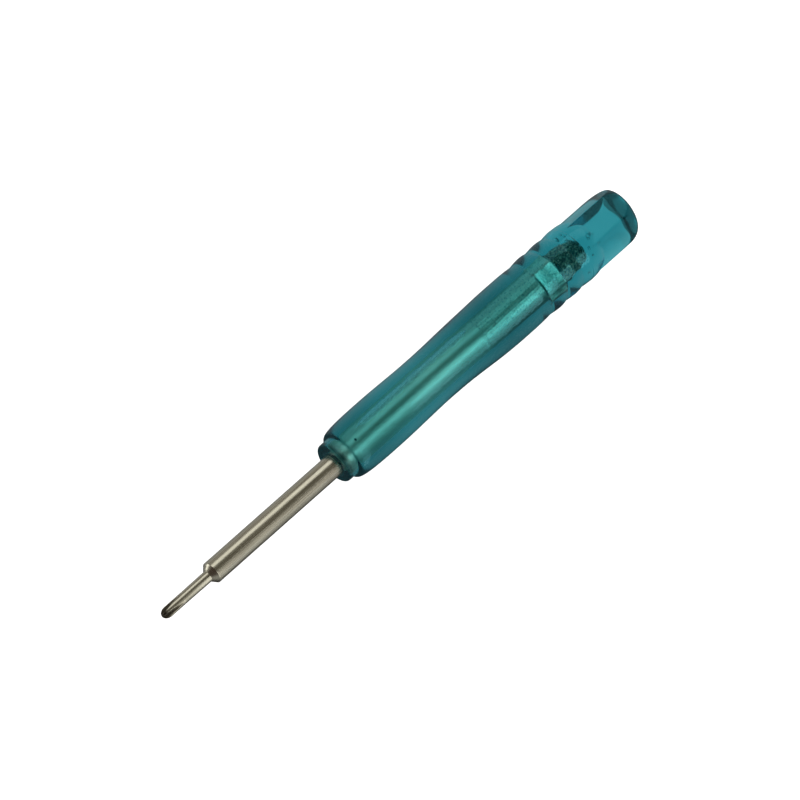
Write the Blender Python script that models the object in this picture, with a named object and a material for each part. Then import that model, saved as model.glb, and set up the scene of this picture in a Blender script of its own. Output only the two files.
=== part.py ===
"""Small screwdriver: a steel blade with a cross tip, set in a one-piece clear plastic handle.

Metres, +Z up. The driver lies on its side with its axis along X, the tip towards +X and the butt towards -X.
The origin is under the middle of its length, at the height of the surface that it lies on.
A station is a distance along the axis, measured back from the tip.
"""

import math

import bmesh
import bpy
from mathutils import Matrix

MM = 0.001

# Whole driver
LENGTH = 85.0 * MM
SIDES = 48  # flats round each turned piece
BIGGEST_RADIUS = 4.19 * MM  # the crest of the rings, which the driver lies on

# Blade
TIP_RADIUS = 0.12 * MM
TIP_NOSE = 1.0 * MM
NECK_RADIUS = 0.75 * MM
NECK_ROOT_RADIUS = 0.80 * MM
NECK_FILLET = 0.25 * MM
SHOULDER = 8.00 * MM  # station where the neck meets the chamfer
SHANK = 8.72 * MM  # station where the chamfer meets the shank
SHANK_RADIUS = 1.50 * MM
EDGE_ROUND = 0.10 * MM
FLUTE_LENGTH = 3.4 * MM
FLUTE_ROOT = 0.16 * MM  # radius of the bottom of a flute at the tip
FLUTE_OUTER = 1.6 * MM  # how far out the flute cutters reach
FLUTE_SPARE = 0.4 * MM  # how far the flute cutters run past both ends
FLUTE_TURN = math.radians(38)
KNURL_START = 57.0 * MM
KNURL_END = 72.0 * MM
KNURL_DEPTH = 0.10 * MM
KNURL_EDGE = 0.20 * MM  # length over which the grooves start and end
FLAT_START = 68.0 * MM
FLAT_END = 71.6 * MM
FLAT_OFF_AXIS = 0.90 * MM  # the tang is pressed flat on two sides, to keep it from turning in the handle
FLAT_TURN = math.radians(37)  # of the flats' faces about the axis, from straight up
FLAT_REACH = 2.0 * MM
TANG_TAPER = 72.4 * MM  # station where the end of the tang starts to taper
TANG_END = 76.3 * MM
TANG_END_RADIUS = 1.10 * MM
TANG_END_ROUND = 0.35 * MM

# Handle
FACE = 30.4 * MM
RIM = 30.6 * MM  # station of the rim of the crowned front face
COLLAR_RADIUS = 2.86 * MM
COLLAR_ROUND = 0.30 * MM
NOSE = 32.25 * MM  # station of the step from the collar to the nose of the grip
NOSE_START_RADIUS = 3.15 * MM
NOSE_POWER = 3  # a squarer curve than an ellipse
CREST_AND_WAIST = (  # station and radius of the fat and thin places of the grip
    (39.0 * MM, 3.82 * MM),
    (48.3 * MM, 3.65 * MM),
    (62.6 * MM, 4.10 * MM),
)
GRIP_END = 64.5 * MM
RINGS = (  # groove station and radius, crest station and radius
    (67.0 * MM, 3.90 * MM, 68.5 * MM, 4.17 * MM),
    (70.1 * MM, 3.90 * MM, 71.7 * MM, BIGGEST_RADIUS),
    (73.2 * MM, 3.97 * MM, 74.85 * MM, BIGGEST_RADIUS),
)
DOME = 2.75 * MM  # length of the rounded back of the last ring
DOME_DEPTH = 0.75 * MM
HEX_START = 75.2 * MM
HEX_RADIUS = 4.17 * MM  # to the corners, before they are rounded
HEX_CORNER_ROUND = 0.18 * MM
CAP_LENGTH = 3.2 * MM  # the far end is turned to a blunt cap, which takes off the corners first
CAP_RADIUS = 4.20 * MM  # where the cap starts, just outside the corners
CAP_POWER = 2.2
CAP_SPARE = 0.3 * MM  # how far the block and the cap run past each other
BUTT_END_RADIUS = 3.0 * MM  # of the flat end
BORE_CLEARANCE = 0.30 * MM

HALF_FLAT = math.pi / SIDES
SHARP = math.radians(35)  # faces that meet at more than this are shaded as an edge
SAME_PLACE = MM / 10000  # points closer together than this are one point
AXIS_HEIGHT = BIGGEST_RADIUS * math.cos(HALF_FLAT)


def clear_scene():
    for obj in list(bpy.data.objects):
        bpy.data.objects.remove(obj, do_unlink=True)


def rising(start, end, count, power=2):
    """Quarter of a superellipse between two (station, radius) points, steep at the start and level at the end."""
    points = []
    for step in range(count + 1):
        turn = 0.5 * math.pi * step / count
        station = start[0] + (end[0] - start[0]) * (1 - abs(math.cos(turn)) ** (2 / power))
        radius = start[1] + (end[1] - start[1]) * math.sin(turn) ** (2 / power)
        points.append((station, radius))
    return points


def falling(start, end, count, power=2):
    """Quarter of a superellipse, level at the start and steep at the end."""
    return rising(end, start, count, power)[::-1]


def eased(start, end, count):
    """Smooth change of radius between two (station, radius) points, level at both."""
    points = []
    for step in range(count + 1):
        part = step / count
        radius = start[1] + (end[1] - start[1]) * (1 - math.cos(math.pi * part)) / 2
        points.append((start[0] + (end[0] - start[0]) * part, radius))
    return points


def without_repeats(points):
    kept = [points[0]]
    for point in points[1:]:
        if math.dist(point, kept[-1]) > SAME_PLACE:
            kept.append(point)
    return kept


def blade_profile():
    nose = rising((0, TIP_RADIUS), (TIP_NOSE, NECK_RADIUS), 6)
    neck = [(SHOULDER - NECK_FILLET, NECK_ROOT_RADIUS), (SHOULDER, NECK_ROOT_RADIUS + EDGE_ROUND)]
    shoulder = rising((SHANK - EDGE_ROUND, SHANK_RADIUS - EDGE_ROUND), (SHANK + EDGE_ROUND, SHANK_RADIUS), 3)
    knurl = [(KNURL_START, SHANK_RADIUS), (KNURL_END, SHANK_RADIUS), (TANG_TAPER, SHANK_RADIUS)]
    end = rising((TANG_END, TANG_END_RADIUS - TANG_END_ROUND), (TANG_END - TANG_END_ROUND, TANG_END_RADIUS), 3)
    return without_repeats([(0, 0), *nose, *neck, *shoulder, *knurl, *end[::-1], (TANG_END, 0)])


def handle_profile():
    rim = rising((RIM, COLLAR_RADIUS - COLLAR_ROUND), (RIM + COLLAR_ROUND, COLLAR_RADIUS), 4)
    collar = [(FACE, 0), (FACE, SHANK_RADIUS + BORE_CLEARANCE), *rim, (NOSE, COLLAR_RADIUS)]
    grip = rising((NOSE, NOSE_START_RADIUS), CREST_AND_WAIST[0], 10, NOSE_POWER)
    for start, end in zip(CREST_AND_WAIST, CREST_AND_WAIST[1:]):
        grip += eased(start, end, 7)
    crest = (GRIP_END, CREST_AND_WAIST[-1][1])
    rings = []
    for groove_at, groove_radius, crest_at, crest_radius in RINGS:
        rings += falling(crest, (groove_at, groove_radius), 3)
        crest = (crest_at, crest_radius)
        rings += rising((groove_at, groove_radius), crest, 3)
    dome = falling(crest, (crest[0] + DOME, crest[1] - DOME_DEPTH), 8)
    return without_repeats([*collar, *grip, *rings, *dome, (crest[0] + DOME, 0)])


def rounded_hexagon():
    """Points of the six-sided section, with flats facing up and down, drawn about the driver's axis."""
    corner = HEX_CORNER_ROUND / math.sin(math.radians(60))
    points = []
    for side in range(6):
        direction = math.radians(30 + 60 * side)
        for swing in (-30, -10, 10, 30):
            turn = direction + math.radians(swing)
            x = (HEX_RADIUS - corner) * math.cos(direction) + HEX_CORNER_ROUND * math.cos(turn)
            y = (HEX_RADIUS - corner) * math.sin(direction) + HEX_CORNER_ROUND * math.sin(turn)
            points.append((x, y))
    return points


def new_object(name, mesh, axis):
    obj = bpy.data.objects.new(name, mesh)
    bpy.context.scene.collection.objects.link(obj)
    obj.parent = axis
    return obj


def mesh_from(name, bm):
    bmesh.ops.recalc_face_normals(bm, faces=bm.faces)
    mesh = bpy.data.meshes.new(name)
    bm.to_mesh(mesh)
    bm.free()
    mesh.shade_smooth()
    mesh.set_sharp_from_angle(angle=SHARP)
    return mesh


def turned(name, profile, axis, groove_of=None):
    """Solid of revolution about the driver's axis. groove_of gives how far a vertex is sunk below the profile."""
    bm = bmesh.new()
    line = [bm.verts.new((radius, 0, -station)) for station, radius in profile]
    edges = [bm.edges.new(pair) for pair in zip(line, line[1:])]
    bmesh.ops.spin(
        bm, geom=line + edges, cent=(0, 0, 0), axis=(0, 0, 1), angle=2 * math.pi, steps=SIDES, use_duplicate=False
    )
    bmesh.ops.remove_doubles(bm, verts=bm.verts, dist=SAME_PLACE)
    if groove_of:
        for vertex in bm.verts:
            side = round(math.atan2(vertex.co.y, vertex.co.x) / (2 * HALF_FLAT))
            radius = math.hypot(vertex.co.x, vertex.co.y)
            if radius > 0:
                factor = 1 - groove_of(-vertex.co.z, side) / radius
                vertex.co.x *= factor
                vertex.co.y *= factor
    obj = new_object(name, mesh_from(name, bm), axis)
    obj.rotation_euler.z = HALF_FLAT
    return obj


def lofted(name, sections, axis):
    """Closed solid through sections, each a station and its points in order."""
    bm = bmesh.new()
    loops = []
    for station, points in sections:
        verts = [bm.verts.new((x, y, -station)) for x, y in points]
        loops.append(verts)
    for first, second in zip(loops, loops[1:]):
        for i, vertex in enumerate(first):
            following = (i + 1) % len(first)
            bm.faces.new((vertex, first[following], second[following], second[i]))
    bm.faces.new(loops[0])
    bm.faces.new(loops[-1])
    return new_object(name, mesh_from(name, bm), axis)


def as_helper(obj):
    obj.hide_render = True
    obj.display_type = "WIRE"
    return obj


def combine(obj, other, operation):
    modifier = obj.modifiers.new(other.name, "BOOLEAN")
    modifier.operation = operation
    modifier.object = other
    modifier.solver = "EXACT"


def material(name, color, roughness, metallic, transmission):
    made = bpy.data.materials.new(name)
    made.use_nodes = True
    shader = made.node_tree.nodes["Principled BSDF"]
    shader.inputs["Base Color"].default_value = (*color, 1)
    shader.inputs["Roughness"].default_value = roughness
    shader.inputs["Metallic"].default_value = metallic
    shader.inputs["Transmission Weight"].default_value = transmission
    return made


def knurl_groove(station, side):
    """The splined part of the tang has a groove along every second edge."""
    inside = KNURL_START + KNURL_EDGE / 2 < station < KNURL_END + KNURL_EDGE / 2
    return KNURL_DEPTH if inside and side % 2 else 0


def flute_cutter(number, axis):
    """Wedge with a square-cut V edge, which runs out of the neck as it goes back from the tip."""
    rise = (NECK_RADIUS - FLUTE_ROOT) / FLUTE_LENGTH
    sections = []
    for station in (-FLUTE_SPARE, FLUTE_LENGTH + FLUTE_SPARE):
        root = FLUTE_ROOT + rise * station
        half = FLUTE_OUTER - root
        sections.append((station, [(root, 0), (FLUTE_OUTER, half), (FLUTE_OUTER, -half)]))
    cutter = lofted(f"flute_cutter_{number}", sections, axis)
    cutter.rotation_euler.z = FLUTE_TURN + math.radians(90) * number
    return as_helper(cutter)


def flat_cutter(number, axis):
    """Block that cuts one of the two flats of the tang."""
    section = [
        (FLAT_OFF_AXIS, FLAT_REACH),
        (FLAT_REACH, FLAT_REACH),
        (FLAT_REACH, -FLAT_REACH),
        (FLAT_OFF_AXIS, -FLAT_REACH),
    ]
    cutter = lofted(f"flat_cutter_{number}", [(FLAT_START, section), (FLAT_END, section)], axis)
    cutter.rotation_euler.z = math.pi * number - FLAT_TURN
    return as_helper(cutter)


def make_blade(axis):
    profile = blade_profile()
    start = profile.index((KNURL_START, SHANK_RADIUS))
    profile.insert(start + 1, (KNURL_START + KNURL_EDGE, SHANK_RADIUS))
    blade = turned("blade", profile, axis, knurl_groove)
    for number in range(4):
        combine(blade, flute_cutter(number, axis), "DIFFERENCE")
    for number in range(2):
        combine(blade, flat_cutter(number, axis), "DIFFERENCE")
    blade.data.materials.append(material("nickel_plated_steel", (0.56, 0.53, 0.48), 0.28, 1.0, 0.0))
    return blade


def butt_block(axis):
    """Six-sided bar, its far end cut to a blunt turned cap."""
    sections = [(HEX_START, rounded_hexagon()), (LENGTH + CAP_SPARE, rounded_hexagon())]
    block = as_helper(lofted("butt_block", sections, axis))
    start = HEX_START - CAP_SPARE
    cap = falling((LENGTH - CAP_LENGTH, CAP_RADIUS), (LENGTH, BUTT_END_RADIUS), 9, CAP_POWER)
    profile = [(start, 0), (start, CAP_RADIUS), *cap, (LENGTH, 0)]
    combine(block, as_helper(turned("butt_cap", profile, axis)), "INTERSECT")
    return block


def bore_profile():
    radius = SHANK_RADIUS + BORE_CLEARANCE
    end = TANG_END + BORE_CLEARANCE
    return [(FACE - MM, 0), (FACE - MM, radius), (end - TANG_END_ROUND, radius), (end, radius / 2), (end, 0)]


def make_handle(axis):
    handle = turned("handle", handle_profile(), axis)
    combine(handle, butt_block(axis), "UNION")
    combine(handle, as_helper(turned("bore_cutter", bore_profile(), axis)), "DIFFERENCE")
    handle.data.materials.append(material("clear_teal_plastic", (0.02, 0.36, 0.44), 0.18, 0.0, 0.85))
    return handle


def main():
    clear_scene()
    axis = bpy.data.objects.new("driver_axis", None)
    bpy.context.scene.collection.objects.link(axis)
    axis.matrix_world = Matrix.Translation((LENGTH / 2, 0, AXIS_HEIGHT)) @ Matrix.Rotation(math.pi / 2, 4, "Y")
    make_blade(axis)
    make_handle(axis)


main()
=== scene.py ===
"""Looks of a small cross-tip screwdriver: a nickel-plated steel blade in a clear teal plastic handle.

Metres, +Z up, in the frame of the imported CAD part: the driver lies along X, with its tip towards +X.
A station is a distance along the driver's axis, measured back from the tip. Stations, radii and depths
are given in millimetres. An angle about the axis is 0 straight up and grows towards +Y.
"""

import math
import random

import bmesh
import bpy
import numpy as np
from mathutils import Matrix, Vector, noise


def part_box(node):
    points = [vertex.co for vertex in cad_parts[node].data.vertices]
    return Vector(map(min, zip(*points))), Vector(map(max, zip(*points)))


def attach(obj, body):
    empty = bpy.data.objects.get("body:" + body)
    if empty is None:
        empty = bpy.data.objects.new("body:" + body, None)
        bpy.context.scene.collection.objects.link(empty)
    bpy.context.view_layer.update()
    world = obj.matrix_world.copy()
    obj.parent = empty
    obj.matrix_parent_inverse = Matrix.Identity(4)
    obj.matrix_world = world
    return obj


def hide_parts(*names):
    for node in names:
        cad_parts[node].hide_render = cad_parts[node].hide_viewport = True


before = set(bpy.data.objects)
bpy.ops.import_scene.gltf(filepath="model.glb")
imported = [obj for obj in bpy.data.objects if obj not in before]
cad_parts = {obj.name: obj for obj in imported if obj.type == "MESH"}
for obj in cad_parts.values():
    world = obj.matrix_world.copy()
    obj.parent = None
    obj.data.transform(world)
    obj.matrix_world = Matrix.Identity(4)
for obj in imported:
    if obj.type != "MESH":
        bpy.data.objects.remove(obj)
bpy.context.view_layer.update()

MM = 0.001
BODY = "root"
ROWS = (0.06, 0.5, 0.085)  # spacing of the rows of points along the flutes, the shank and the tang
BLADE_SIDES = 180

# Where the CAD solids put the driver
TIP_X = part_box("blade")[1].x
BUTT_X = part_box("handle")[0].x
AXIS_Z = (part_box("handle")[0].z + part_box("handle")[1].z) / 2
LENGTH = (TIP_X - BUTT_X) / MM
FATTEST = (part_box("handle")[1].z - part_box("handle")[0].z) / 2 / MM - 0.02  # at the crests of the rings

# Blade
TIP_RADIUS = 0.10
TIP_NOSE = 1.0  # length of the rounded nose of the tip
TIP_STEPS = 24
NECK_RADIUS = 0.74
SHOULDER = (8.00, 0.90)  # station and radius where the chamfer starts
SHANK = (8.66, 1.50)  # and where it reaches the shank
FLUTE_LENGTH = 3.4
FLUTE_ROOT = 0.15  # radius of the bottom of a flute at the tip
FLUTE_TURN = math.radians(52)
FLUTE_SOFTNESS = 0.10
ROUGH_START = 56.9  # station where the roughened stretch of the tang starts
ROUGH_END = 71.5
SPLINES = 36
SPLINE_DEPTH = 0.012
GRAIN_DEPTH = 0.022
SCORCH = (71.6, 72.6)  # stations over which the steel turns dark and rusty
SCORCH_DEPTH = 0.20
NICK = (57.4, 0.16, 0.035)  # station, half length and depth of a fine nick round the steel
SPECK = (34.2, 0)  # station and angle in degrees of a dark speck on the steel
TANG_TAPER = 71.8
TANG_END = (76.2, 0.95)  # station and radius of the end of the tang
PRESSED = (68.0, 71.6)  # stations between which the tang is pressed flat
PRESSED_HALVES = (0.92, 1.74)  # half its thickness and half its width there
PRESSED_TURN = math.radians(37)
PRESSED_SHIFT = 0.18  # how far the pressing pushed it to one side
SQUARENESS = 8  # power of the rounded oblong it has there
# The driver is bowed a little: stations, and how far its middle lies off the axis, towards ACROSS
BLADE_BOW = ((0.0, 0.09), (28.0, 0.06), (38.0, -0.05), (52.5, -0.11), (60.0, 0.0), (76.0, 0.06))

# Handle
FACE = 30.58  # station of the front face
COLLAR_RADIUS = 2.86
COLLAR_ROUND = 0.34
NOSE = (32.25, 3.15)  # station and radius of the step up to the nose of the grip
NOSE_POWER = 3
GRIP = ((39.0, 3.82), (48.3, 3.65), (62.6, 4.10))  # fat and thin places of the grip
GRIP_END = 64.5  # where it starts to fall to the first groove
RING_POWERS = (1.4, 2.0)  # how quickly a ring rises out of its groove, and falls towards the next
# Station and radius of a groove, and of the crest behind it
RINGS = ((67.35, 3.97, 69.1, FATTEST), (70.25, 3.97, 72.0, FATTEST), (73.3, 3.99, 74.9, FATTEST))
DOME = (2.9, 0.75)  # length and depth of the rounded back of the last ring
HEX_RADIUS = 4.15  # of the butt, to its corners before they are rounded
HEX_CORNER = 0.20
HEX_START = 75.0
CAP = (3.4, 2.0)  # length and power of the curve that blunts the butt
CAP_RADII = (4.20, 3.2)  # where the cap starts and where it turns into the flat end
END_SLANT = 0.45  # how much shorter the butt is on its far side
SLANT_START = 78
BOW = ((30.4, -0.06), (42.0, -0.05), (52.5, -0.11), (60.0, 0.0), (67.0, 0.0), (76.0, 0.005), (85.0, 0.03))
WAVINESS = 0.010  # of the grip's surface
GRIPPED = 0.012  # how far the wall of the bore lies inside the steel it grips
FILM = 0.05  # thickness of the air film where the plastic has let go of the steel
FILM_MIDDLE = math.radians(-36)
FILM_REACH = math.radians(17)  # half its width as seen from the axis
FILM_CLOSING = math.radians(35)  # how much narrower it is where it has closed up
FILM_ENDS = ((33.0, 37.5), (54, 58))  # stations over which it opens and closes
FILM_EDGE = 0.08  # radians over which it thins out to its edge
BUBBLES = 13
BUBBLE_STATIONS = (75.0, 79.0)
BUBBLE_SIZES = (0.12, 0.15, 0.18, 0.24)
SECTOR = (2.5, 12, 30)  # per flat: degrees of fine steps at a corner, fine steps, coarse steps

# Directions: the camera leans towards the tip and a little to the driver's +Y side
CAMERA_LEAN = math.radians(25)
CAMERA_TURN = math.radians(16.8)
PICTURE_TURN = math.radians(41.42)
CAMERA_DISTANCE = 0.590  # metres
CAMERA_LENS = 210.5
AIM_STATION = 43.34
AIM_ACROSS = -0.55

# Studio. A softbox has its name, the station it is aimed at, its lean and turn in degrees as direction()
# takes them, its distance and size in metres, and its brightness.
SOFTBOXES = (
    ("key_softbox", LENGTH / 2, -25, -46, 0.45, (0.24, 0.60), 1.0),
    ("side_softbox", 60, -25, 40, 0.07, (0.045, 0.026), 2.8),
    ("top_softbox", LENGTH / 2, -8, 58, 0.60, (0.94, 0.17), 1.3),
    ("shoulder_card", SHANK[0], 33, -101, 0.30, (0.14, 0.10), 1.6),
)
TABLE_REACH = 3  # metres from the driver to the table's edges
TABLE_DEPTHS = (0.02, 0.05, 20)  # below the driver: shaded sheet, white sheet, lower level under the butt
STEP_STATION = 82.5
DARK_STATION = 90  # where the lower level turns from dark to light
# Glows of the lower level and the step seen through the plastic: painted shade and painted light
PAINTED_SHADE_GLOW = 0.2  # of the lower level's dark part and the step's side
PAINTED_LIGHT_GLOW = 0.69  # and of its light part
# How light the table looks through the plastic: along it, by station, and across it, by part of its width
SHADE = ((30, 0.58), (38, 0.60), (43, 0.84), (49, 0.82), (54, 0.74), (62, 0.54), (69, 0.74), (77, 1.38))
SHADE_ACROSS = (
    (0.08, 0.62), (0.26, 0.42), (0.37, 0.52), (0.50, 0.50), (0.60, 0.32), (0.64, 0.28), (1.0, 0.80),
)
SHADE_REACH = 30  # half the width that the shade is spread over

TOWARDS_CAMERA = Vector((
    math.sin(CAMERA_LEAN),
    math.cos(CAMERA_LEAN) * math.sin(CAMERA_TURN),
    math.cos(CAMERA_LEAN) * math.cos(CAMERA_TURN),
))
ACROSS = Vector((0, math.cos(CAMERA_TURN), -math.sin(CAMERA_TURN)))
ABOVE = Vector((0, math.sin(CAMERA_TURN), math.cos(CAMERA_TURN)))


def eased(points, station):
    """Smooth curve through (station, value) points, level at each of them."""
    if station <= points[0][0]:
        return points[0][1]
    for (start, first), (end, last) in zip(points, points[1:]):
        if station <= end:
            part = (station - start) / (end - start)
            return first + (last - first) * (1 - math.cos(math.pi * part)) / 2
    return points[-1][1]


def smooth_step(low, high, value):
    """From 0 at low to 1 at high, level at both."""
    part = min(max((value - low) / (high - low), 0), 1)
    return part * part * (3 - 2 * part)


def smooth_max(first, second, softness):
    """The larger of the two, with the crease between them rounded."""
    return (first + second + np.sqrt((first - second) ** 2 + softness**2)) / 2


def lumps(station, angle, radius, size, seed):
    """Smooth noise from -1 to 1 on a surface at this station, angle and radius."""
    place = Vector((station, radius * math.cos(angle), radius * math.sin(angle)))
    return noise.noise(place / size + Vector((seed, 0, 0)))


# ---------------------------------------------------------------- meshes


def even_angles(count):
    return [2 * math.pi * step / count for step in range(count)]


def angles_with_corners():
    """Angles about the axis, closer together at the six corners of the butt."""
    fine_half, fine_steps, coarse_steps = SECTOR
    angles = []
    for side in range(6):
        corner = 30 + 60 * side
        for step in range(fine_steps):
            angles.append(corner - fine_half + 2 * fine_half * step / fine_steps)
        for step in range(coarse_steps):
            angles.append(corner + fine_half + (60 - 2 * fine_half) * step / coarse_steps)
    return [math.radians(angle) for angle in angles]


def surface(name, rows, angles):
    """Closed mesh through rows round the axis. A row is (stations, radii, shifts), with a number per angle.

    The first and the last row are drawn together to a point on the axis.
    """
    stations = np.array([row[0] for row in rows], float)
    radii = np.array([row[1] for row in rows], float)
    shifts = np.array([row[2] for row in rows], float)
    turn = np.array(angles)
    points = np.empty((*radii.shape, 3))
    points[..., 0] = TIP_X - stations * MM
    points[..., 1] = (radii * np.sin(turn) + shifts * ACROSS.y) * MM
    points[..., 2] = AXIS_Z + (radii * np.cos(turn) + shifts * ACROSS.z) * MM
    around = len(angles)
    verts = [tuple(points[0].mean(0)), *map(tuple, points[1:-1].reshape(-1, 3)), tuple(points[-1].mean(0))]
    last = len(verts) - 1
    faces = []
    for step in range(around):
        following = (step + 1) % around
        faces.append((0, 1 + step, 1 + following))
        for row in range(len(rows) - 3):
            base = 1 + row * around
            faces.append((base + step, base + around + step, base + around + following, base + following))
        base = 1 + (len(rows) - 3) * around
        faces.append((base + step, last, base + following))
    mesh = bpy.data.meshes.new(name)
    mesh.from_pydata(verts, [], faces)
    bm = bmesh.new()
    bm.from_mesh(mesh)
    if bm.calc_volume(signed=True) < 0:
        bmesh.ops.reverse_faces(bm, faces=bm.faces)
    bm.to_mesh(mesh)
    bm.free()
    mesh.shade_smooth()
    obj = bpy.data.objects.new(name, mesh)
    bpy.context.scene.collection.objects.link(obj)
    return obj


def round_row(station, radius, count, shift=0):
    return [station] * count, [radius] * count, [shift] * count


def filleted(corners, steps=6):
    """Points along a profile of straight runs, with its corners (station, radius, rounding) rounded off."""
    points = [corners[0][:2]]
    for before, corner, after in zip(corners, corners[1:], corners[2:]):
        middle = Vector(corner[:2])
        back = Vector(before[:2]) - middle
        ahead = Vector(after[:2]) - middle
        reach = min(corner[2], 0.48 * back.length, 0.48 * ahead.length)
        start = middle + back.normalized() * reach
        end = middle + ahead.normalized() * reach
        for step in range(steps + 1):
            part = step / steps
            points.append(tuple(start.lerp(middle, part).lerp(middle.lerp(end, part), part)))
    points.append(corners[-1][:2])
    return points


def stepped(points, longest):
    """The same line with no step longer than this."""
    result = [points[0]]
    for start, end in zip(points, points[1:]):
        count = max(1, math.ceil(math.dist(start, end) / longest))
        for step in range(1, count + 1):
            part = step / count
            result.append((start[0] + (end[0] - start[0]) * part, start[1] + (end[1] - start[1]) * part))
    return result


# ---------------------------------------------------------------- blade


def blade_profile():
    """Points (station, radius) from the tip to the end of the tang, without flutes or roughness."""
    flutes_row, shank_row, tang_row = ROWS
    nose = []
    for step in range(TIP_STEPS + 1):
        turn = math.pi / 2 * step / TIP_STEPS
        radius = TIP_RADIUS + (NECK_RADIUS - TIP_RADIUS) * math.sin(turn)
        nose.append((TIP_NOSE * (1 - math.cos(turn)), radius))
    flutes = stepped([nose[-1], (FLUTE_LENGTH + 0.6, NECK_RADIUS)], flutes_row)
    body = filleted([
        (FLUTE_LENGTH + 0.6, NECK_RADIUS, 0),
        (SHOULDER[0], NECK_RADIUS + 0.03, 0.10),
        (SHOULDER[0] + 0.04, SHOULDER[1], 0.05),
        (*SHANK, 0.05),
        (ROUGH_START, SHANK[1], 0),
        (TANG_TAPER, SHANK[1], 0.6),
        (*TANG_END, 0.45),
        (TANG_END[0] + 0.05, 0, 0),
    ])
    tang = next(index for index, point in enumerate(body) if point[0] > ROUGH_START - 0.5)
    return nose + flutes[1:] + stepped(body[1:tang], shank_row) + stepped(body[tang - 1 :], tang_row)[1:]


def flute_limit(station, angle):
    """Radius of the wall of the nearest flute, in this direction."""
    root = FLUTE_ROOT + (NECK_RADIUS - FLUTE_ROOT) * station / FLUTE_LENGTH
    quarter = math.pi / 2
    off = (angle - FLUTE_TURN + quarter / 2) % quarter - quarter / 2
    opening = math.cos(off) - math.sqrt(math.sin(off) ** 2 + FLUTE_SOFTNESS**2)
    return root * (1 - FLUTE_SOFTNESS) / max(opening, 0.01)


def roughness_depth(station, angle):
    """How far the roughened tang lies below or above the plain shank."""
    inside = smooth_step(ROUGH_START, ROUGH_START + 0.5, station)
    inside *= 1 - smooth_step(ROUGH_END, ROUGH_END + 1, station)
    spline = SPLINE_DEPTH * (0.5 + 0.5 * math.cos(SPLINES * angle + 0.5 * station))
    grain = GRAIN_DEPTH * lumps(station, angle, SHANK[1], 0.22, 3.1)
    burnt = smooth_step(TANG_TAPER, TANG_TAPER + 1, station)
    scorch = burnt * SCORCH_DEPTH * lumps(station, angle, SHANK[1], 0.8, 8.7)
    nick = NICK[2] * max(0, 1 - abs(station - NICK[0]) / NICK[1])
    return inside * (grain - spline) + scorch - nick


def pressed(station):
    """From 0 where the tang is round to 1 where it is pressed flat."""
    start, end = PRESSED
    return smooth_step(start - 0.3, start + 0.2, station) * (1 - smooth_step(end - 0.2, end + 0.3, station))


def steel_radius(station, radius, angle):
    """Radius of the steel in this direction, where its plain profile has this radius."""
    if radius == 0:
        return 0
    if station < FLUTE_LENGTH + 0.3:
        return min(radius, flute_limit(station, angle))
    if station < ROUGH_START - 0.5:
        return radius
    value = radius + roughness_depth(station, angle) * min(1, radius)
    flat = pressed(station)
    if flat > 0:
        thin = abs(math.cos(angle - PRESSED_TURN)) / PRESSED_HALVES[0]
        wide = abs(math.sin(angle - PRESSED_TURN)) / PRESSED_HALVES[1]
        value += ((thin**SQUARENESS + wide**SQUARENESS) ** (-1 / SQUARENESS) - SHANK[1]) * flat
    return value


def steel_shift(station):
    """How far the middle of the steel lies off the axis."""
    return eased(BLADE_BOW, station) + PRESSED_SHIFT * pressed(station)


def make_blade(steel):
    angles = even_angles(BLADE_SIDES)
    rows = [round_row(0, 0, len(angles), BLADE_BOW[0][1])]
    for station, radius in blade_profile():
        radii = [steel_radius(station, radius, angle) for angle in angles]
        rows.append(([station] * len(angles), radii, [steel_shift(station)] * len(angles)))
    blade = surface("steel_blade", rows, angles)
    blade.data.materials.append(steel)
    return blade


# ---------------------------------------------------------------- handle


def ring_radius(station):
    """Radius of the grip and its rings, between the nose and the end of the dome behind the last ring."""
    if station <= GRIP[0][0]:
        part = (station - NOSE[0]) / (GRIP[0][0] - NOSE[0])
        rise = (1 - (1 - part) ** NOSE_POWER) ** (1 / NOSE_POWER)
        return NOSE[1] + (GRIP[0][1] - NOSE[1]) * rise
    if station <= GRIP[-1][0]:
        return eased(GRIP, station)
    bulge = (GRIP_END, GRIP[-1][1])
    if station <= GRIP_END:
        return bulge[1]
    for groove_at, groove_radius, crest_at, crest_radius in RINGS:
        if station <= groove_at:
            part = (station - bulge[0]) / (groove_at - bulge[0])
            return bulge[1] - (bulge[1] - groove_radius) * part ** RING_POWERS[1]
        if station <= crest_at:
            part = (crest_at - station) / (crest_at - groove_at)
            return crest_radius - (crest_radius - groove_radius) * part ** RING_POWERS[0]
        bulge = (crest_at, crest_radius)
    part = min((station - bulge[0]) / DOME[0], 1)
    return bulge[1] - DOME[1] + DOME[1] * math.sqrt(1 - part * part)


def hexagon_radius(angle):
    """Distance from the axis to the six-sided section, whose flats face up and down."""
    flat = HEX_RADIUS * math.cos(math.pi / 6)
    off = (angle + math.pi / 6) % (math.pi / 3) - math.pi / 6
    from_corner = math.pi / 6 - abs(off)
    centre = HEX_RADIUS - HEX_CORNER / math.sin(math.pi / 3)
    tangent = math.atan2(HEX_CORNER / 2, centre + HEX_CORNER * math.cos(math.pi / 6))
    if from_corner > tangent:
        return flat / math.cos(off)
    side = centre * math.sin(from_corner)
    return centre * math.cos(from_corner) + math.sqrt(HEX_CORNER**2 - side**2)


def air_film(station, angle):
    """Thickness of the air film along one side of the steel, where the plastic shrank away from it."""
    off = (angle - FILM_MIDDLE + math.pi) % (2 * math.pi) - math.pi
    reach = FILM_REACH + math.radians(6) * lumps(station, 0, SHANK[1], 4.5, 21.0)
    reach += math.radians(7) * lumps(station, angle, SHANK[1], 0.9, 5.0)
    opening, closing = FILM_ENDS
    reach -= FILM_CLOSING * (1 - smooth_step(*opening, station) + smooth_step(*closing, station))
    return FILM * (1 - smooth_step(reach - FILM_EDGE, reach + FILM_EDGE, abs(off)))


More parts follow.
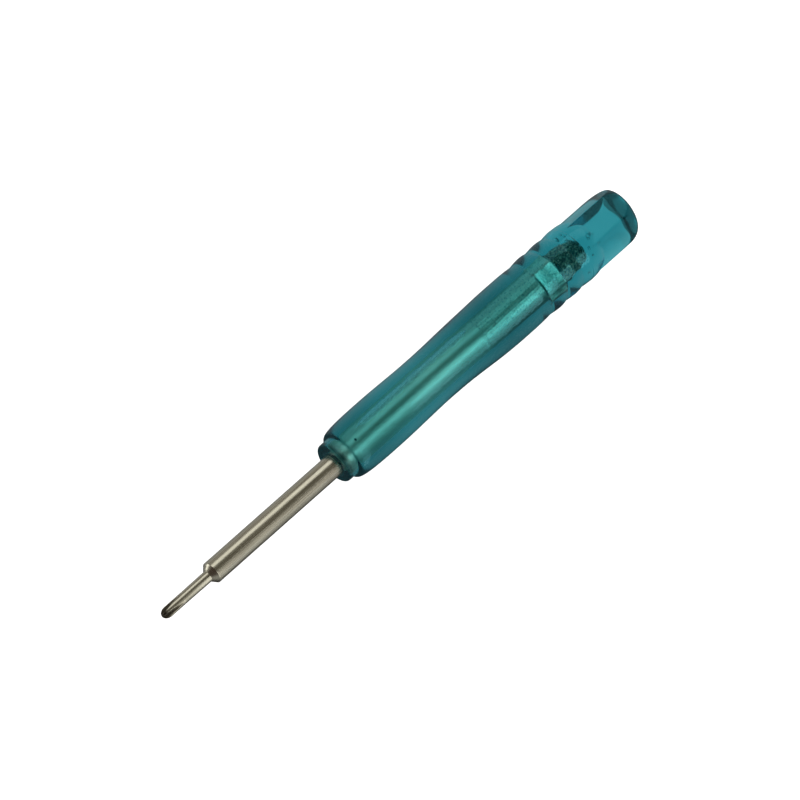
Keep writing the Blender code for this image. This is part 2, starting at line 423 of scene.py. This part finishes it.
def bore_rows(angles):
    """From the closed end of the bore to its mouth. But for the air film, the plastic grips the steel."""
    rows = []
    for station, radius in reversed(blade_profile()):
        if station < FACE + 0.2:
            break
        radii = []
        for angle in angles:
            wall = steel_radius(station, radius, angle)
            radii.append(max(0, wall - GRIPPED) + air_film(station, angle) if radius else 0)
        rows.append(([station - GRIPPED] * len(angles), radii, [steel_shift(station)] * len(angles)))
    return rows


def face_rows(angles):
    """The flat front face round the shank, the collar and the step up to the nose of the grip."""
    profile = filleted([
        (FACE + 0.06, SHANK[1] - GRIPPED, 0),
        (FACE, SHANK[1] + 0.01, 0.03),
        (FACE, COLLAR_RADIUS, COLLAR_ROUND),
        (NOSE[0] - 0.10, COLLAR_RADIUS + 0.02, 0.10),
        (NOSE[0] - 0.02, NOSE[1] - 0.10, 0.08),
        (NOSE[0] + 0.02, ring_radius(NOSE[0] + 0.02), 0),
    ])
    rows = []
    for station, radius in stepped(profile, 0.12)[1:-1]:
        inner = eased(BLADE_BOW, station)
        shift = inner + (eased(BOW, station) - inner) * smooth_step(1.6, 2.2, radius)
        rows.append(round_row(station, radius, len(angles), shift))
    return rows


def grip_stations():
    """Stations of the rows along the grip, closer together at the nose and in the grooves."""
    stations = []
    station = NOSE[0] + 0.02
    while station < HEX_START:
        stations.append(station)
        if station < NOSE[0] + 0.3:
            step = 0.03
        elif station < GRIP_END:
            step = 0.30
        else:
            nearest = min(abs(station - groove[0]) for groove in RINGS)
            step = 0.035 if nearest < 0.25 else 0.10
        station += step
    return stations


def grip_rows(angles):
    """The grip and its rings, slightly uneven. The crests stay inside the widest radius."""
    rows = []
    for station in grip_stations():
        base = ring_radius(station)
        inward = smooth_step(FATTEST - 0.06, FATTEST - 0.02, base)
        radii = []
        for angle in angles:
            wave = WAVINESS * lumps(station, angle, base, 3.2, 1.0)
            radii.append(base + wave - WAVINESS * inward)
        rows.append(([station] * len(angles), radii, [eased(BOW, station)] * len(angles)))
    return rows


def cap_radius(station):
    """Radius of the turned cap that takes the corners off the far end of the butt."""
    length, power = CAP
    part = min(max((station - LENGTH + length) / length, 0), 1)
    return CAP_RADII[1] + (CAP_RADII[0] - CAP_RADII[1]) * (1 - part**power) ** (1 / power)


def butt_rows(angles):
    """The dome of the last ring running into the six-sided butt, with its blunt and slanted end."""
    section = np.array([hexagon_radius(angle) for angle in angles])
    turn = np.array(angles)
    side = (np.sin(turn) * ACROSS.y + np.cos(turn) * ACROSS.z) / CAP_RADII[1]
    shift = [BOW[-1][1]] * len(angles)

    def slanted(station, radii):
        slant = END_SLANT / 2 * smooth_step(SLANT_START, LENGTH, station)
        return list(station - slant * np.maximum(0, 1 + side * radii)), list(radii), shift

    rows = []
    dome_end = RINGS[-1][2] + DOME[0]
    station = HEX_START
    while station < LENGTH:
        beyond = max(0, station - dome_end)  # where the dome falls away inside the butt
        dome = np.full(len(angles), ring_radius(station) - 3 * beyond)
        cap = np.full(len(angles), cap_radius(station))
        rows.append(slanted(station, -smooth_max(-smooth_max(dome, section, 0.015), -cap, 0.06)))
        if station < dome_end + 0.3:
            station += 0.07
        elif station < LENGTH - CAP[0] - 0.2:
            station += 0.40
        else:
            station += min(0.08, max(0.003, 0.25 * (LENGTH - station)))
    end = np.full(len(angles), CAP_RADII[1])
    for part in (1, 0.97, 0.9, 0.75, 0.5, 0.25, 0):
        rows.append(slanted(LENGTH, end * part))
    return rows


def add_bubbles(handle):
    """Air bubbles round and behind the end of the tang, as small hollows in the plastic."""
    draw = random.Random(7)
    bm = bmesh.new()
    bm.from_mesh(handle.data)
    for _ in range(BUBBLES):
        station = draw.uniform(*BUBBLE_STATIONS)
        behind = station > TANG_END[0] + 0.5
        radius = draw.uniform(0.1, 2.2) if behind else draw.uniform(1.8, 2.4)
        angle = draw.uniform(0, 2 * math.pi)
        size = draw.choice(BUBBLE_SIZES)
        made = bmesh.ops.create_icosphere(bm, subdivisions=3, radius=size * MM)["verts"]
        stretch = Vector((draw.uniform(0.9, 1.3), draw.uniform(0.8, 1.1), draw.uniform(0.8, 1.1)))
        centre = Vector((
            TIP_X - station * MM,
            radius * math.sin(angle) * MM,
            AXIS_Z + radius * math.cos(angle) * MM,
        ))
        for vertex in made:
            dent = noise.noise(vertex.co / MM * 6 + centre / MM)
            vertex.co = centre + vertex.co * stretch * (1 + 0.15 * dent)
        found = {face for vertex in made for face in vertex.link_faces}
        bmesh.ops.reverse_faces(bm, faces=list(found))
        for face in found:
            face.smooth = True
    bm.to_mesh(handle.data)
    bm.free()


def make_handle(plastic):
    angles = angles_with_corners()
    rows = bore_rows(angles) + face_rows(angles) + grip_rows(angles) + butt_rows(angles)
    handle = surface("clear_handle", rows, angles)
    add_bubbles(handle)
    handle.data.materials.append(plastic)
    return handle


# ---------------------------------------------------------------- materials


def add_node(tree, kind, inputs=(), **settings):
    """New node with these settings, and with a value or a link for each of these inputs."""
    node = tree.nodes.new(kind)
    for name, value in settings.items():
        setattr(node, name, value)
    for socket, value in dict(inputs).items():
        if isinstance(value, bpy.types.NodeSocket):
            tree.links.new(value, node.inputs[socket])
        else:
            node.inputs[socket].default_value = value
    return node


def fill_ramp(ramp, stops):
    """Give a colour ramp these (place, colour) stops."""
    while len(ramp.elements) < len(stops):
        ramp.elements.new(0.5)
    for element, (at, color) in zip(ramp.elements, stops):
        element.position = at
        element.color = (*color, 1)


class Nodes:
    """Short names for building a material's node tree."""

    def __init__(self, name):
        self.material = bpy.data.materials.new(name)
        self.material.use_nodes = True
        self.tree = self.material.node_tree
        self.shader = self.tree.nodes["Principled BSDF"]
        self.output = self.tree.nodes["Material Output"]
        self.place = self.add("ShaderNodeTexCoord").outputs["Object"]

    def add(self, kind, inputs=(), **settings):
        return add_node(self.tree, kind, inputs, **settings)

    def set(self, values):
        """Set sockets of the shader to plain values."""
        for socket, value in values.items():
            self.shader.inputs[socket].default_value = value

    def link(self, source, socket):
        self.tree.links.new(source, self.shader.inputs[socket])

    def noise(self, scale, detail=3, stretch=(1, 1, 1)):
        """Noise from 0 to 1, at this many lumps per millimetre, drawn out by stretch."""
        scales = [scale / MM / axis for axis in stretch]
        wide = self.add("ShaderNodeMapping", {"Vector": self.place, "Scale": scales})
        made = self.add("ShaderNodeTexNoise", {"Vector": wide.outputs[0], "Scale": 1, "Detail": detail})
        return made.outputs["Fac"]

    def ramp(self, value, *stops):
        node = self.add("ShaderNodeValToRGB", {"Fac": value})
        fill_ramp(node.color_ramp, stops)
        return node.outputs["Color"]

    def between(self, value, low, high, to_low, to_high):
        node = self.add("ShaderNodeMapRange", {
            "Value": value, "From Min": low, "From Max": high, "To Min": to_low, "To Max": to_high,
        })
        return node.outputs["Result"]

    def math(self, operation, first, second):
        return self.add("ShaderNodeMath", {0: first, 1: second}, operation=operation).outputs[0]

    def mix(self, part, first, second):
        """The first colour where part is 0, and the second where it is 1."""
        node = self.add("ShaderNodeMix", data_type="RGBA")
        for socket, value in (("Factor_Float", part), ("A_Color", first), ("B_Color", second)):
            target = [item for item in node.inputs if item.identifier == socket][0]
            if isinstance(value, bpy.types.NodeSocket):
                self.tree.links.new(value, target)
            else:
                target.default_value = value if socket == "Factor_Float" else (*value, 1)
        return [item for item in node.outputs if item.identifier == "Result_Color"][0]

    def station(self):
        """Distance back from the tip, in millimetres."""
        x = self.add("ShaderNodeSeparateXYZ", {"Vector": self.place}).outputs["X"]
        return self.math("MULTIPLY", self.math("SUBTRACT", TIP_X, x), 1 / MM)

    def off_axis(self):
        """Distance from the driver's axis, in millimetres."""
        split = self.add("ShaderNodeSeparateXYZ", {"Vector": self.place})
        height = self.math("SUBTRACT", split.outputs["Z"], AXIS_Z)
        squares = self.math("ADD", self.math("POWER", split.outputs["Y"], 2), self.math("POWER", height, 2))
        return self.math("MULTIPLY", self.math("SQRT", squares, 0), 1 / MM)

    def sideways(self):
        """From -1 to 1: how far a point of the steel faces to the driver's +Y and lower side."""
        split = self.add("ShaderNodeSeparateXYZ", {"Vector": self.place})
        height = self.math("SUBTRACT", split.outputs["Z"], AXIS_Z)
        across = self.math("MULTIPLY", split.outputs["Y"], ACROSS.y)
        across = self.math("ADD", across, self.math("MULTIPLY", height, ACROSS.z))
        return self.math("MULTIPLY", across, 1 / SHANK[1] / MM)

    def bump(self, *layers):
        """Bump from (height in millimetres, height map) layers."""
        normal = None
        for depth, height in layers:
            inputs = {"Height": height, "Distance": depth * MM, "Strength": 1}
            if normal:
                inputs["Normal"] = normal
            normal = self.add("ShaderNodeBump", inputs).outputs["Normal"]
        self.link(normal, "Normal")


def steel_material():
    made = Nodes("nickel_plated_steel")
    station = made.station()
    streaks = made.noise(9, 4, (60, 1, 1))
    blotches = made.noise(0.35, 4)
    grain = made.noise(5, 3)

    # Plating with lengthwise streaks and duller blotches
    base = made.ramp(streaks, (0.25, (0.54, 0.515, 0.40)), (0.75, (0.70, 0.68, 0.545)))
    base = made.mix(made.between(blotches, 0.4, 0.7, 0, 0.35), base, (0.52, 0.47, 0.38))

    # The tip is worn dark. The roots of the flutes are darker too: partly grime, partly painted shade in the
    # recesses
    tip = made.between(made.math("ADD", station, blotches), 0.6, 2.2, 0.65, 0)
    base = made.mix(tip, base, (0.14, 0.13, 0.11))
    flute_root_shade = made.between(made.off_axis(), NECK_RADIUS - 0.15, NECK_RADIUS - 0.02, 0.8, 0)
    fluted = made.between(station, FLUTE_LENGTH - 0.5, FLUTE_LENGTH + 0.5, 1, 0)
    base = made.mix(made.math("MULTIPLY", flute_root_shade, fluted), base, (0.08, 0.07, 0.055))

    # Inside the handle the steel is made lighter, as painted light that brightens its reflections seen
    # through the plastic, and then the roughened tang is pitted
    gripped = made.between(station, FACE, FACE + 1, 0, 1)
    bright = made.ramp(streaks, (0.25, (0.80, 0.80, 0.64)), (0.75, (0.95, 0.95, 0.78)))
    base = made.mix(gripped, base, bright)
    rough_tang = made.between(station, ROUGH_START - 0.3, ROUGH_START + 0.4, 0, 1)
    pits = made.between(grain, 0.30, 0.50, 0.5, 0)
    base = made.mix(made.math("MULTIPLY", rough_tang, pits), base, (0.16, 0.17, 0.15))

    # Towards its end the tang is darkened on its lower +Y side as painted shade, and then scorched and rusty
    below = made.between(made.sideways(), 0.55, 0.95, 0, 0.75)
    painted_shade_under = made.math("MULTIPLY", below, made.between(station, 55, 63, 0, 1))
    base = made.mix(painted_shade_under, base, (0.10, 0.11, 0.08))
    ragged = made.math("ADD", station, made.math("MULTIPLY", blotches, 1.5))
    scorch = made.between(ragged, *SCORCH, 0, 0.93)
    rust = made.ramp(grain, (0.46, (0.02, 0.014, 0.012)), (0.60, (0.60, 0.46, 0.32)))
    base = made.mix(scorch, base, rust)

    # A dark ring of painted shade where the steel goes into the handle, and a dark speck just inside
    mouth = made.math(
        "MULTIPLY",
        made.between(station, FACE - 0.08, FACE, 0, 0.95),
        made.between(station, FACE + 0.7, FACE + 1.2, 1, 0),
    )
    base = made.mix(mouth, base, (0.02, 0.03, 0.03))
    angle = math.radians(SPECK[1])
    across = SHANK[1] * math.sin(angle) * MM
    spot = Vector((TIP_X - SPECK[0] * MM, across, AXIS_Z + SHANK[1] * math.cos(angle) * MM))
    away = made.add("ShaderNodeVectorMath", {0: made.place, 1: spot}, operation="DISTANCE").outputs["Value"]
    base = made.mix(made.between(away, 0.10 * MM, 0.20 * MM, 0.95, 0), base, (0.02, 0.02, 0.02))

    made.link(base, "Base Color")
    made.set({"Metallic": 1.0})
    fine = made.between(streaks, 0.3, 0.7, 0.20, 0.30)
    made.link(made.math("ADD", fine, made.math("MULTIPLY", gripped, 0.15)), "Roughness")
    made.bump((0.003, streaks), (0.006, made.math("MULTIPLY", grain, rough_tang)))
    return made.material


def plastic_material():
    made = Nodes("clear_teal_plastic")
    made.set({
        "Base Color": (0.97, 1, 1, 1),
        "Transmission Weight": 1.0,
        "IOR": 1.49,
        "Specular Tint": (0.20, 0.80, 0.85, 1),
        # The faint teal glow is painted light that lifts the darkest parts of the plastic
        "Emission Color": (0, 0.86, 1, 1),
        "Emission Strength": 0.010,
    })
    # Satin outside, where it is worn, and rougher on the wall of the bore
    wear = made.between(made.noise(0.5, 5), 0.35, 0.7, 0.06, 0.16)
    bore = made.between(made.off_axis(), 1.80, 1.95, 0.30, 0)
    bore = made.math("MULTIPLY", bore, made.between(made.station(), 77, 78, 1, 0))
    made.link(made.math("ADD", wear, bore), "Roughness")
    peel = made.noise(0.7, 2)
    drawn = made.noise(2.5, 2, (4, 1, 1))
    made.bump((0.010, peel), (0.0015, drawn))
    depth = made.add("ShaderNodeVolumeAbsorption", {"Color": (0.03, 0.695, 0.745, 1), "Density": 475})
    made.tree.links.new(depth.outputs["Volume"], made.output.inputs["Volume"])
    return made.material


def white_table_material():
    made = Nodes("white_table")
    made.set({
        "Base Color": (0.88, 0.88, 0.88, 1),
        "Roughness": 0.9,
        "Emission Color": (1, 1, 1, 1),
        "Emission Strength": 1.0,
    })
    return made.material


def glowing(name, level):
    """Nodes of a material that only glows: no light shows on it."""
    made = Nodes(name)
    made.set({
        "Base Color": (0, 0, 0, 1),
        "Specular IOR Level": 0,
        "Emission Color": (1, 1, 1, 1),
        "Emission Strength": level,
    })
    return made


def shaded_table_material():
    """The table as it looks through the plastic: in the driver's own soft shade, deepest to the +Y side."""
    made = glowing("shaded_table", 1)
    split = made.add("ShaderNodeSeparateXYZ", {"Vector": made.place})
    sideways = made.between(split.outputs["Y"], -SHADE_REACH * MM, SHADE_REACH * MM, 0, 1)
    made.link(made.ramp(sideways, *[(at, (level,) * 3) for at, level in SHADE_ACROSS]), "Emission Color")
    levels = [(at / LENGTH, (level / 2,) * 3) for at, level in SHADE]
    lengthways = made.ramp(made.between(made.station(), 0, LENGTH, 0, 1), *levels)
    made.link(made.math("MULTIPLY", lengthways, 2), "Emission Strength")
    return made.material


# ---------------------------------------------------------------- studio


def sheet(material, corners):
    mesh = bpy.data.meshes.new(material.name)
    mesh.from_pydata(corners, [], [(0, 1, 2, 3)])
    made = bpy.data.objects.new(material.name, mesh)
    bpy.context.scene.collection.objects.link(made)
    made.data.materials.append(material)
    return made


def level_sheet(material, height, start, end):
    """Level sheet from one X to another."""
    sides = ((start, -TABLE_REACH), (end, -TABLE_REACH), (end, TABLE_REACH), (start, TABLE_REACH))
    return sheet(material, [(x, y, height) for x, y in sides])


def make_table():
    """A white table. Seen directly it is evenly white, and through the plastic it is shaded.

    Through the plastic the table steps down under the end of the butt. Light that comes straight through
    meets the lower level. Light turned back by the end face meets the dark side of the step.
    """
    step = TIP_X - STEP_STATION * MM
    dark = TIP_X - DARK_STATION * MM
    top = -TABLE_DEPTHS[0] * MM
    bottom = -TABLE_DEPTHS[2] * MM
    corners = ((-TABLE_REACH, bottom), (TABLE_REACH, bottom), (TABLE_REACH, top), (-TABLE_REACH, top))
    riser = [(step, y, z) for y, z in corners]
    # Seen only through the plastic, these sheets glow at set levels: painted light and painted shade
    seen_through = [
        level_sheet(shaded_table_material(), top, step, TABLE_REACH),
        level_sheet(glowing("painted_shade_under_butt", PAINTED_SHADE_GLOW).material, bottom, dark, step),
        level_sheet(glowing("painted_light_under_butt", PAINTED_LIGHT_GLOW).material, bottom, -TABLE_REACH, dark),
        sheet(glowing("painted_shade_step", PAINTED_SHADE_GLOW).material, riser),
    ]
    for piece in seen_through:
        piece.visible_camera = False
    white = level_sheet(white_table_material(), -TABLE_DEPTHS[1] * MM, -TABLE_REACH, TABLE_REACH)
    white.visible_transmission = False
    for piece in (white, *seen_through):
        piece.visible_glossy = False
        piece.visible_diffuse = False
        piece.visible_shadow = False


def direction(lean, turn):
    """Unit vector leaning this far towards the tip, turned this far about the axis from the camera's side."""
    side = ABOVE * math.cos(turn) + ACROSS * math.sin(turn)
    return Vector((math.sin(lean), 0, 0)) + side * math.cos(lean)


def softbox(name, target, towards, distance, size, brightness):
    """Area light. Its size is its width across the driver and its length along it."""
    light = bpy.data.lights.new(name, "AREA")
    light.shape = "RECTANGLE"
    light.size, light.size_y = size
    light.energy = brightness * math.pi * size[0] * size[1]
    obj = bpy.data.objects.new(name, light)
    z = towards.normalized()
    along = (Vector((1, 0, 0)) - z * z.x).normalized()
    wide = along.cross(z)
    turn = Matrix((wide, along, z)).transposed()
    obj.matrix_world = Matrix.Translation(target + z * distance) @ turn.to_4x4()
    bpy.context.scene.collection.objects.link(obj)
    obj.visible_camera = False


def make_world():
    """A dim studio: dark overhead and ahead of the tip, lighter round the horizon, dark from below."""
    world = bpy.data.worlds.new("studio")
    world.use_nodes = True
    tree = world.node_tree
    towards = add_node(tree, "ShaderNodeTexCoord").outputs["Generated"]
    height = add_node(tree, "ShaderNodeSeparateXYZ", {"Vector": towards}).outputs["Z"]
    part = add_node(tree, "ShaderNodeMapRange", {"Value": height, "From Min": -1}).outputs["Result"]
    ramp = add_node(tree, "ShaderNodeValToRGB", {"Fac": part})
    fill_ramp(ramp.color_ramp, (
        (0.0, (0.06, 0.06, 0.06)),
        (0.12, (0.10, 0.10, 0.10)),
        (0.22, (0.30, 0.30, 0.30)),
        (0.45, (0.36, 0.36, 0.36)),
        (0.55, (0.34, 0.33, 0.32)),
        (0.70, (0.27, 0.25, 0.23)),
        (0.88, (0.13, 0.12, 0.10)),
        (1.0, (0.12, 0.11, 0.09)),
    ))
    tip_side = {0: towards, 1: direction(math.radians(57), 0)}
    ahead = add_node(tree, "ShaderNodeVectorMath", tip_side, operation="DOT_PRODUCT")
    shade = add_node(tree, "ShaderNodeMapRange", {
        "Value": ahead.outputs["Value"], "From Min": 0.62, "From Max": 0.88, "To Max": 0.85,
    })
    mix = add_node(tree, "ShaderNodeMix", data_type="RGBA")
    tree.links.new(shade.outputs["Result"], mix.inputs[0])
    tree.links.new(ramp.outputs["Color"], mix.inputs[6])
    mix.inputs[7].default_value = (0.035, 0.018, 0.012, 1)
    tree.links.new(mix.outputs[2], tree.nodes["Background"].inputs["Color"])
    bpy.context.scene.world = world


def make_lights():
    for name, station, lean, turn, distance, size, brightness in SOFTBOXES:
        target = Vector((TIP_X - station * MM, 0, AXIS_Z))
        towards = direction(math.radians(lean), math.radians(turn))
        softbox(name, target, towards, distance, size, brightness)


def make_camera():
    camera = bpy.data.cameras.new("camera")
    camera.lens = CAMERA_LENS
    camera.sensor_width = 36
    camera.clip_start = 0.01
    obj = bpy.data.objects.new("camera", camera)
    axis = Vector((1, 0, 0))
    back = (TOWARDS_CAMERA * axis.dot(TOWARDS_CAMERA) - axis).normalized()
    right = back * math.cos(PICTURE_TURN) + ACROSS * math.sin(PICTURE_TURN)
    up = back * math.sin(PICTURE_TURN) - ACROSS * math.cos(PICTURE_TURN)
    aim = Vector((TIP_X - AIM_STATION * MM, 0, AXIS_Z)) + ACROSS * AIM_ACROSS * MM
    turn = Matrix((right, up, TOWARDS_CAMERA)).transposed()
    obj.matrix_world = Matrix.Translation(aim + TOWARDS_CAMERA * CAMERA_DISTANCE) @ turn.to_4x4()
    bpy.context.scene.collection.objects.link(obj)
    bpy.context.scene.camera = obj
    bpy.context.scene.view_settings.view_transform = "Standard"


blade = make_blade(steel_material())
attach(blade, BODY)
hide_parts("blade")

handle = make_handle(plastic_material())
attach(handle, BODY)
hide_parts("handle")

make_table()
make_world()
make_lights()
make_camera()
